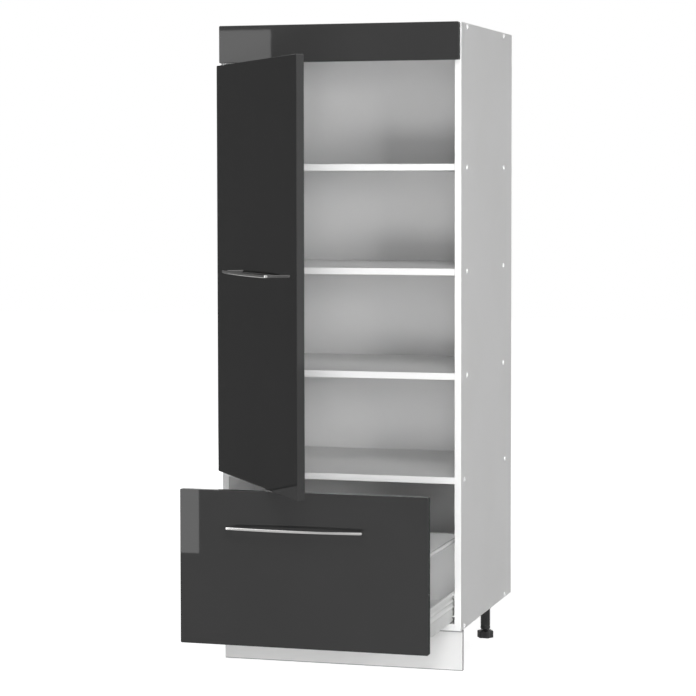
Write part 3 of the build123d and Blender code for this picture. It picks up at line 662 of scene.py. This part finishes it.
def thread(major, minor, pitch, low, turns):
    """A screw thread round Z, from a zigzag line spun upwards by one pitch a turn."""
    bm = bmesh.new()
    points = []
    for turn in range(turns):
        z = low + pitch * turn
        points += [(minor, z), (minor, z + pitch * 0.2), (major, z + pitch * 0.45), (major, z + pitch * 0.7)]
    corners = [bm.verts.new((radius, 0, z)) for radius, z in points + [(minor, low + pitch * turns)]]
    line = [bm.edges.new(pair) for pair in zip(corners, corners[1:])]
    steps = 20
    bmesh.ops.spin(bm, geom=corners + line, cent=(0, 0, 0), axis=(0, 0, 1), dvec=(0, 0, pitch / steps),
                   angle=2 * pi, steps=steps, use_merge=False)
    bmesh.ops.remove_doubles(bm, verts=bm.verts, dist=0.00002)
    bmesh.ops.holes_fill(bm, edges=[edge for edge in bm.edges if len(edge.link_faces) == 1], sides=0)
    bmesh.ops.recalc_face_normals(bm, faces=bm.faces)
    return bm


def level_foot():
    """A lobed foot for turning by hand, with a dished top, a ribbed collar and a threaded spindle."""
    bm = bmesh.new()
    reach, lobe, lobes = 0.0195, 0.0015, 6
    ring = bmesh.ops.create_circle(bm, cap_ends=False, segments=96, radius=1)["verts"]
    for vert in ring:
        vert.co *= reach + lobe * cos(lobes * atan2(vert.co.y, vert.co.x))
    rim = list(bm.edges)
    bottom = grow_rim(bm, rim, 0.97, 0)
    bmesh.ops.holes_fill(bm, edges=bottom, sides=0)
    for scale, rise in ((1.0, 0.0008), (1.0, 0.0148), (0.985, 0.0009), (0.955, 0.0011), (0.93, 0.0002),
                        (0.72, 0.0), (0.985, -0.0016), (0.7, 0.0), (0.98, 0.0018)):
        rim = grow_rim(bm, rim, scale, rise)
    bmesh.ops.holes_fill(bm, edges=rim, sides=0)
    bmesh.ops.recalc_face_normals(bm, faces=bm.faces)
    add(bm, turned([(0, 0.0), (0.0165, 0.0), (0.0172, 0.0006), (0.0172, 0.0014), (0, 0.0014)], 40))
    add(bm, thread(major=0.007, minor=0.0056, pitch=0.003, low=0.016, turns=11))
    return bm


sockets = bmesh.new()
for place in leg_places.values():
    add(sockets, leg_socket(), Matrix.Translation((*place, 0)))
settle("leg_sockets_moulded", sockets, "carcass", "black_plastic", ["leg_sockets"])
for word, place in leg_places.items():
    settle(f"level_foot_{word}", level_foot(), f"foot_{word}", "black_plastic", [f"foot_{word}"],
           Matrix.Translation((*place, 0)))


# Screws with driver recesses; a size is head radius, head height, shank radius and length

small_screw = (0.0036, 0.001, 0.0019, 0.011)
flush_screw = (0.0036, 0.0007, 0.0019, 0.011)
handle_screw = (0.004, 0.002, 0.002, 0.03)


def screw_group(name, body, stands_for, places, sizes=small_screw, pose=None):
    """All screws of one kind as one piece; a place is a point and the way its head faces."""
    bm = bmesh.new()
    for n, (point, facing) in enumerate(places):
        add(bm, cross_screw(*sizes), towards(point, facing) @ Matrix.Rotation(radians(37 * n), 4, "Z"))
    settle(name, bm, body, "zinc_steel", [stands_for], pose, 30)


boss_z = 0.0952
screw_group("leg_screw_heads", "carcass", "leg_screws",
            [((x + spot[0], y + spot[1], boss_z), downward)
             for x, y in leg_places.values() for spot in leg_screw_spots()])
screw_group("hinge_plate_screw_heads", "carcass", "hinge_plate_screws",
            [((plate_face_x, plate_screw_y, z + end * plate_screw_spread), rightward)
             for z in hinge_heights for end in sides])
screw_group("hinge_cup_screw_heads", "door", "hinge_cup_screws",
            [((cup_x, cup_flange_y, z + end * cup_screw_spread), rearward)
             for z in hinge_heights for end in sides], flush_screw, door_pose)
screw_group("fascia_screw_heads", "carcass", "fascia_screws",
            [((side * (inner_half - bracket_sheet), bracket_leg / 2, bracket_z), (-side, 0, 0))
             for side in sides]
            + [((side * (inner_half - bracket_leg / 2), front_inner_y + bracket_sheet, bracket_z), rearward)
               for side in sides])
screw_group("runner_screw_heads", "carcass", "runner_screws",
            [((side * (inner_half - runner_sheet), runner_front_y + step, rear_roller_z), (-side, 0, 0))
             for side in sides for step in runner_screw_steps])
angle_screw_x = side_outer_x - drawer_sheet - angle_width / 2
saddle_screw_z = drawer_back_top_z - saddle_screw_drop
screw_group("drawer_screw_heads", "drawer", "drawer_screws",
            [((side * angle_screw_x, front_inner_y + angle_sheet, angle_screw_z), rearward)
             for side in sides]
            + [((side * saddle_x, drawer_back_y - saddle_sheet, saddle_screw_z), forward)
               for side in sides], pose=drawer_pose)
screw_group("door_handle_screw_heads", "door", "door_handle_screws",
            [((end * handle_half_spacing, front_inner_y, door_handle_z), rearward) for end in sides],
            handle_screw, door_pose)
screw_group("drawer_handle_screw_heads", "drawer", "drawer_handle_screws",
            [((drawer_handle_x + end * handle_half_spacing, front_inner_y, drawer_handle_z), rearward)
             for end in sides], handle_screw, drawer_pose)


# Hinges: the pressed parts are eased, and get their rivet heads, adjusters and damper block

for node, width in (("hinge_cups", 0.0003), ("hinge_arms", 0.0005), ("hinge_plates", 0.0006),
                    ("hinge_links", 0.0002), ("plinth_clips", 0.0005), ("fascia_brackets", 0.0004)):
    soften(node, width)

rivets = bmesh.new()
fork_outer = 0.0058
for z in hinge_heights:
    for end in sides:
        dome = turned([(0, 0), (0.0021, 0), (0.0021, 0.0003), (0.0017, 0.0008), (0.0009, 0.0011),
                       (0, 0.0012)], 20)
        add(rivets, dome, towards((arm_pin.x, arm_pin.y, z + end * fork_outer), (0, 0, end)))
settle("hinge_arm_rivets", rivets, "carcass", "hinge_steel")

adjusters = bmesh.new()
adjuster_screw = (0.0032, 0.0012, 0.002, 0.004)
slot_plate = [(-0.0035, -0.005), (0.0035, -0.005), (0.0035, 0.005), (-0.0035, 0.005)]
for z in hinge_heights:
    for y in (0.051, 0.068):
        add(adjusters, cross_screw(*adjuster_screw), towards((arm_top_x, y, z), rightward))
    add(adjusters, plate(slot_plate, 0.0007, 0.0015, edge=0.0003),
        towards((arm_top_x, 0.0595, z), rightward))
settle("hinge_adjusters", adjusters, "carcass", "zinc_steel")

dampers = bmesh.new()
damper_x, damper_y, damper_half_height = (-0.2815, -0.2655), (-0.0124, -0.0052), 0.0042
for z in hinge_heights:
    add(dampers, eased_block((damper_x[0], damper_y[0], z - damper_half_height),
                             (damper_x[1], damper_y[1], z + damper_half_height), 0.0008))
    for end in sides:
        pivot = turned([(0, 0), (0.0018, 0), (0.0018, 0.0006), (0.0012, 0.0011), (0, 0.0012)], 16)
        place = (sum(damper_x) / 2, sum(damper_y) / 2, z + end * damper_half_height)
        add(dampers, pivot, towards(place, (0, 0, end)))
settle("hinge_cup_dampers", dampers, "door", "black_plastic", pose=door_pose)


# Drawer sides

def drawer_wall():
    """The right side: folded steel with a rolled lip, two beads, a floor flange and spot welds."""
    x, lip_top = side_outer_x, drawer_side_top - drawer_sheet
    lip, flange = 0.0054, 0.0166
    points = [(x + lip, lip_top - lip), (x + lip, lip_top), (x, lip_top)]
    bead, bead_flat, bead_depth = 0.004, 0.001, 0.0018
    for middle in (0.169, 0.1545):
        points += [(x, middle + bead), (x + bead_depth, middle + bead_flat),
                   (x + bead_depth, middle - bead_flat), (x, middle - bead)]
    points += [(x, drawer_bottom_z), (x - flange, drawer_bottom_z)]
    wall = folded_sheet(points, drawer_length, drawer_sheet, bend=0.0015, crimp=0.0009)
    bmesh.ops.translate(wall, vec=(0, front_inner_y, 0), verts=wall.verts)
    for y in (0.06, 0.44):
        for z in (0.1305, 0.139):
            weld = turned([(0, 0), (0.0024, 0), (0.0022, 0.00025), (0, 0.0003)], 18)
            add(wall, weld, towards((x - 0.00005, y, z), rightward))
    return wall


for word, wall in (("left", mirrored(drawer_wall())), ("right", drawer_wall())):
    settle(f"drawer_wall_{word}", wall, "drawer", "coated_steel", [f"drawer_side_{word}"], drawer_pose)


# Runners, and the rollers and pins that carry the drawer

def runner_channel():
    """The left runner: a channel with turned lips, screw slots and a post for its roller."""
    low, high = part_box("runner_left")
    bend, half_height, post, post_corner = 0.0016, 0.0083, 0.028, 0.006
    length = high[1] - low[1]
    lip = high[0] - low[0] - bend
    bottom = rear_roller_z - half_height + bend
    top = rear_roller_z + half_height - bend
    outline = [(0, bottom), (length, bottom), (length, top), (post + 0.002, top, 0.001),
               (post, top + 0.004, 0.001), (post, high[2], post_corner), (0, high[2], post_corner)]
    hole, stretch = 0.0021, 0.0045
    slots = [(step, rear_roller_z, hole, 0.0) for step in runner_screw_steps]
    slots += [(step, rear_roller_z, hole, stretch) for step in (0.085, 0.149, 0.181, 0.309, 0.373, 0.472)]
    slots.append((post / 2, rear_roller_z + 0.016, 0.0016, 0.0))
    bm = sheet_outline(outline, slots)
    fold_edge(bm, open_edges(bm, 1, bottom), (0, -1, 0), (0, 0, 1), bend, lip)
    fold_edge(bm, open_edges(bm, 1, top), (0, 1, 0), (0, 0, 1), bend, lip)
    return stood_up(bm, runner_sheet, (low[0], low[1], 0))


def roller_wheel(width, radius):
    """A moulded wheel along +Z with a hub, a dished face and small webs."""
    bore, hub, rim = 0.00155, 0.0031, 0.0055
    dish, edge = 0.0005, 0.0004
    wheel = turned([(bore, 0), (hub, 0), (hub + edge, dish), (rim, dish), (rim + edge / 2, 0),
                    (radius - edge, 0), (radius, edge), (radius, width - edge), (radius - edge, width),
                    (rim + edge / 2, width), (rim, width - dish), (hub + edge, width - dish), (hub, width),
                    (bore, width)], 40, closed=True)
    webs, web_half, sink = 5, 0.0003, 0.00005
    for web in range(webs):
        strip = eased_block((hub, -web_half, sink), (rim + 0.0001, web_half, width - sink), 0.0001)
        add(wheel, strip, Matrix.Rotation(2 * pi * web / webs, 4, "Z"))
    return wheel


def roller_pin(length, collar_z, head=0.0):
    """A riveted pin along +Z with an eased end and a collar, and a dome behind it where it shows."""
    radius, collar, edge = 0.0015, 0.0028, 0.0003
    profile = [(0, length), (radius - edge, length), (radius, length - edge), (radius, collar_z + 0.0004),
               (collar, collar_z + edge), (collar, collar_z)]
    if head:
        profile += [(collar, 0), (collar - 0.0004, -head * 0.6), (collar - 0.0013, -head), (0, -head)]
    else:
        profile += [(radius, collar_z), (radius, 0), (0, 0)]
    return turned(profile, 24)


def middle_of(low, high):
    """The middle of a box."""
    return [(a + b) / 2 for a, b in zip(low, high)]


for side, word in zip(sides, ("left", "right")):
    channel = runner_channel() if side < 0 else mirrored(runner_channel())
    settle(f"runner_channel_{word}", channel, "carcass", "coated_steel", [f"runner_{word}"])
    for end in ("front", "rear"):
        node = f"{end}_roller_{word}"
        low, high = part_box(node)
        x, y, z = middle_of(low, high)
        width = high[0] - low[0]
        wheel = roller_wheel(width, (high[2] - low[2]) / 2)
        wheel.transform(towards((x - side * width / 2, y, z), (side, 0, 0)))
        settle(f"{end}_roller_wheel_{word}", wheel, node, "white_plastic", [node])

# The front pins reach inwards from the runners, the rear ones outwards from the drawer's sides
for end, body, collar_z, head in (("front", "carcass", runner_sheet, 0.0),
                                  ("rear", "drawer", drawer_sheet, 0.0009)):
    node = f"{end}_roller_pins"
    low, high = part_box(node)
    _, y, z = middle_of(low, high)
    if end == "front":
        start_x, end_x, facing = high[0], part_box(f"{end}_roller_right")[0][0], -1
    else:
        start_x, end_x, facing = side_outer_x - drawer_sheet, high[0], 1
    pins = bmesh.new()
    for side in sides:
        add(pins, roller_pin(abs(end_x - start_x), collar_z, head),
            towards((side * start_x, y, z), (side * facing, 0, 0)))
    settle(f"{end}_roller_rivets", pins, body, "zinc_steel", [node])


# Fittings between the drawer's sides, front, back and rails

def front_angle():
    """The left angle plate: one leg along the side with slots, one leg on the drawer front."""
    low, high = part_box("front_brackets")
    bend, length, corner = 0.0015, 0.03, 0.005
    bottom, top = low[2], high[2]
    outline = [(bend, bottom), (length, bottom, corner), (length, top, corner), (bend, top)]
    slots = [(0.0165, (bottom + top) / 2 + end * 0.0095, 0.0019, 0.004) for end in sides]
    bm = sheet_outline(outline, slots)
    fold_edge(bm, open_edges(bm, 0, bend), (-1, 0, 0), (0, 0, 1), bend, angle_width - bend)
    return stood_up(bm, angle_sheet, (low[0], low[1], 0))


def rail_saddle(rail_x, rail_z):
    """A cast saddle that grips a rail's rear end on the drawer back, with a screwed plate in front."""
    low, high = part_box("rail_holders")
    half = high[2] - rail_z
    seat, foot = -0.0055, low[2] - rail_z
    saddle = plate([(-half, seat), (half, seat), (half, half, half * 0.98), (-half, half, half * 0.98)],
                   high[1] - low[1], edge=0.0008, segments=8)
    drop = plate([(-half, foot, 0.004), (half, foot, 0.004), (half, seat + 0.001), (-half, seat + 0.001)],
                 saddle_sheet, edge=0.0003)
    stand = Matrix.Rotation(radians(90), 4, "X")
    bm = bmesh.new()
    add(bm, saddle, Matrix.Translation((rail_x, high[1], rail_z)) @ stand)
    add(bm, drop, Matrix.Translation((rail_x, low[1] + saddle_sheet, rail_z)) @ stand)
    return bm


def rail_cup():
    """A moulded cup along +Z with a stepped collar that holds a rail's front end."""
    return turned([(0, 0), (0.008, 0), (0.008, 0.0018), (0.0076, 0.0024), (0.0068, 0.003), (0.0066, 0.0086),
                   (0.0062, 0.0096), (0.0056, 0.01), (0.0051, 0.0096), (0.0051, 0.002), (0, 0.002)], 40)


def rail_tube(radius, length):
    """A rail along +Z with eased ends."""
    edge = 0.0005
    return turned([(0, 0), (radius - edge, 0), (radius, edge), (radius, length - edge),
                   (radius - edge, length), (0, length)], 40)


angles = front_angle()
add(angles, mirrored(front_angle()))
settle("front_angle_plates", angles, "drawer", "coated_steel", ["front_brackets"])
cups, saddles = bmesh.new(), bmesh.new()
cup_start_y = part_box("rail_sockets")[0][1]
for word in ("left", "right"):
    node = f"gallery_rail_{word}"
    low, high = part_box(node)
    x, _, z = middle_of(low, high)
    settle(f"gallery_tube_{word}", rail_tube((high[2] - low[2]) / 2, high[1] - low[1]), "drawer",
           "coated_steel", [node], towards((x, low[1], z), rearward), finish="rail_coat")
    add(cups, rail_cup(), towards((x, cup_start_y, z), rearward))
    add(saddles, rail_saddle(x, z))
settle("rail_cups", cups, "drawer", "white_plastic", ["rail_sockets"])
settle("rail_saddles", saddles, "drawer", "coated_steel", ["rail_holders"])


# Caps over the carcass screws

def screw_cap():
    """A low flat cap along +Z with a rounded rim."""
    return turned([(0, 0), (0.0065, 0), (0.0065, 0.0006), (0.00634, 0.001), (0.0059, 0.0013),
                   (0.0053, 0.0014), (0.0051, 0.0014), (0, 0.0014)], 40)


firm_depths, light_depths = (0.034, 0.482), (0.06, 0.463)
cap_boards = {"bottom_panel": firm_depths, "fixed_shelf": firm_depths, "shelf_1": light_depths,
              "shelf_2": light_depths, "shelf_3": light_depths, "top_panel": light_depths}
for side, word in zip(sides, ("left", "right")):
    caps = bmesh.new()
    for board, depths in cap_boards.items():
        _, _, z = middle_of(*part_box(board))
        for depth in depths:
            add(caps, screw_cap(), towards((side * half_width, depth, z), (side, 0, 0)))
    settle(f"screw_caps_{word}", caps, "carcass", "white_plastic", [f"cover_caps_{word}"], finish="cap_gloss")


# Floor, background and light

def stage_card(name, glow, *corners):
    """A glowing card that only the gloss sees, from its four corners or from two opposite ones."""
    if len(corners) == 2:
        (x0, y0, z0), (x1, y1, z1) = corners
        lies_flat = z0 == z1
        corners = ([(x0, y0, z0), (x1, y0, z0), (x1, y1, z0), (x0, y1, z0)] if lies_flat
                   else [(x0, y0, z0), (x1, y1, z0), (x1, y1, z1), (x0, y0, z1)])
    bm = bmesh.new()
    bmesh.ops.contextual_create(bm, geom=[bm.verts.new(corner) for corner in corners])
    card = new_object(name, bm)
    material = bpy.data.materials.new(name)
    material.use_nodes = True
    tree = material.node_tree
    tree.nodes.clear()
    light = tree.nodes.new("ShaderNodeEmission")
    light.inputs["Color"].default_value = rgb(1.0)
    light.inputs["Strength"].default_value = glow
    end = tree.nodes.new("ShaderNodeOutputMaterial")
    tree.links.new(light.outputs[0], end.inputs["Surface"])
    card.data.materials.append(material)
    card.visible_camera = False
    card.visible_diffuse = False
    card.visible_transmission = False
    card.visible_shadow = False


def seen_directly(tree):
    """One where a ray comes from the camera, a mirror or a clear piece."""
    path = tree.nodes.new("ShaderNodeLightPath")
    first = maths(tree, "MAXIMUM", path.outputs["Is Camera Ray"], path.outputs["Is Glossy Ray"])
    return maths(tree, "MAXIMUM", first, path.outputs["Is Transmission Ray"])


def make_world(ambient):
    """White where it is seen, and a soft grey as light on the object."""
    world = bpy.data.worlds.new("studio")
    world.use_nodes = True
    tree = world.node_tree
    background = tree.nodes["Background"]
    background.inputs["Color"].default_value = rgb(1.0)
    strength = ramp(tree, seen_directly(tree), 0.0, 1.0, ambient, 1.0)
    tree.links.new(strength, background.inputs["Strength"])
    scene.world = world


def make_floor(near, far):
    """A white floor that keeps the object's shadow, a little brighter of itself far from the object."""
    bm = bmesh.new()
    bmesh.ops.create_grid(bm, x_segments=1, y_segments=1, size=14)
    floor = new_object("floor", bm)
    finish, tree, shader = new_finish("floor_white", Base_Color=rgb(0.5), Roughness=0.9,
                                      Specular_IOR_Level=0.0, Emission_Color=rgb(1.0))
    away = tree.nodes.new("ShaderNodeVectorMath")
    away.operation = "LENGTH"
    tree.links.new(object_place(tree), away.inputs[0])
    near_ends, far_starts = 0.9, 2.6
    lift = ramp(tree, away.outputs["Value"], near_ends, far_starts, near, far)
    strength = maths(tree, "MULTIPLY", seen_directly(tree), lift)
    tree.links.new(strength, shader.inputs["Emission Strength"])
    floor.data.materials.append(finish)


def soft_light(name, place, size, power):
    """A large soft lamp, turned to the cabinet's middle, that the gloss doesn't mirror."""
    data = bpy.data.lights.new(name, "AREA")
    data.shape = "RECTANGLE"
    data.size, data.size_y = size
    data.energy = power
    lamp = bpy.data.objects.new(name, data)
    lamp.location = place
    lamp.rotation_mode = "QUATERNION"
    cabinet_middle = Vector((0, 0.2, 0.85))
    lamp.rotation_quaternion = (cabinet_middle - Vector(place)).to_track_quat("-Z", "Y")
    lamp.visible_glossy = False
    scene.collection.objects.link(lamp)


make_world(ambient=0.08)
make_floor(near=0.86, far=1.0)
soft_light("wide_low_light", (1.55, -5.1, 0.35), (1.6, 1.5), 15)
soft_light("low_light", (0.9, -5.1, 0.35), (1.2, 0.6), 72)
soft_light("middle_light", (1.4, -5.6, 1.4), (1.2, 1.2), 55)
soft_light("right_light", (3.8, -5.1, 1.2), (1.2, 1.8), 128)
soft_light("side_light", (4.2, -1.2, 1.4), (1.6, 1.6), 2)
soft_light("left_light", (-2.4, -4.4, 0.9), (1.6, 0.8), 12)
soft_light("high_light", (1.9, -5.0, 4.2), (1.6, 1.5), 112)
soft_light("top_light", (0.3, -3.2, 3.8), (1.6, 1.5), 19)
soft_light("rear_light", (-3.2, 3.6, 1.6), (1.6, 1.5), 110)

bright, light, grey, dark = 2.6, 1.7, 0.6, 0.12
stage_card("light_card", bright, (-0.95, -0.578, 0.2665), (-0.3475, -0.578, 1.5753))
stage_card("dark_card", dark, (-2.4, -0.9, -0.02), (-2.4, 4.5, 3.0))
stage_card("side_card", dark, (0.53, 1.0, 0.004), (0.76, 1.0, 2.2))
stage_card("side_floor_card", dark, (0.31, -0.2, 0.003), (0.42, -0.2, 0.003), (0.76, 1.0, 0.003),
           (0.53, 1.0, 0.003))
stage_card("far_card", bright, (1.46, 6, 0.1), (1.77, 6, 2.05))
stage_card("far_floor_card", bright, (1.1, 3.4, 0.003), (1.19, 4.5, 0.003))
stage_card("near_floor_card", bright, (0.42, 0.55, 0.003), (0.446, 1.15, 0.003))
stage_card("left_high_card", light, (-8, -6.9, 2.8), (-1.9, -6.9, 6))
stage_card("right_high_card", light, (-0.5, -6.9, 2.8), (8, -6.9, 6))
stage_card("grey_card", grey, (-8, -7, 0), (8, -7, 6))
stage_card("grey_floor_card", grey, (-8, -7, 0.002), (8, 0.5, 0.002))


# Camera, as the photograph was taken: its lens and shift in the photograph's pixels

photo_width, focal_pixels, shift_pixels = 696, 2388.707, -48
camera_place = (1.61662, -5.51133, 1.18258)
turn, tilt, roll = 0.28192, 0.05111, -0.00167
camera_data = bpy.data.cameras.new("camera")
camera_data.sensor_width = 36.0
camera_data.lens = focal_pixels / photo_width * 36.0
camera_data.shift_y = shift_pixels / photo_width
camera = bpy.data.objects.new("camera", camera_data)
camera.matrix_world = (Matrix.Translation(camera_place) @ Matrix.Rotation(turn, 4, "Z")
                       @ Matrix.Rotation(radians(90) - tilt, 4, "X") @ Matrix.Rotation(roll, 4, "Z"))
scene.collection.objects.link(camera)
scene.camera = camera
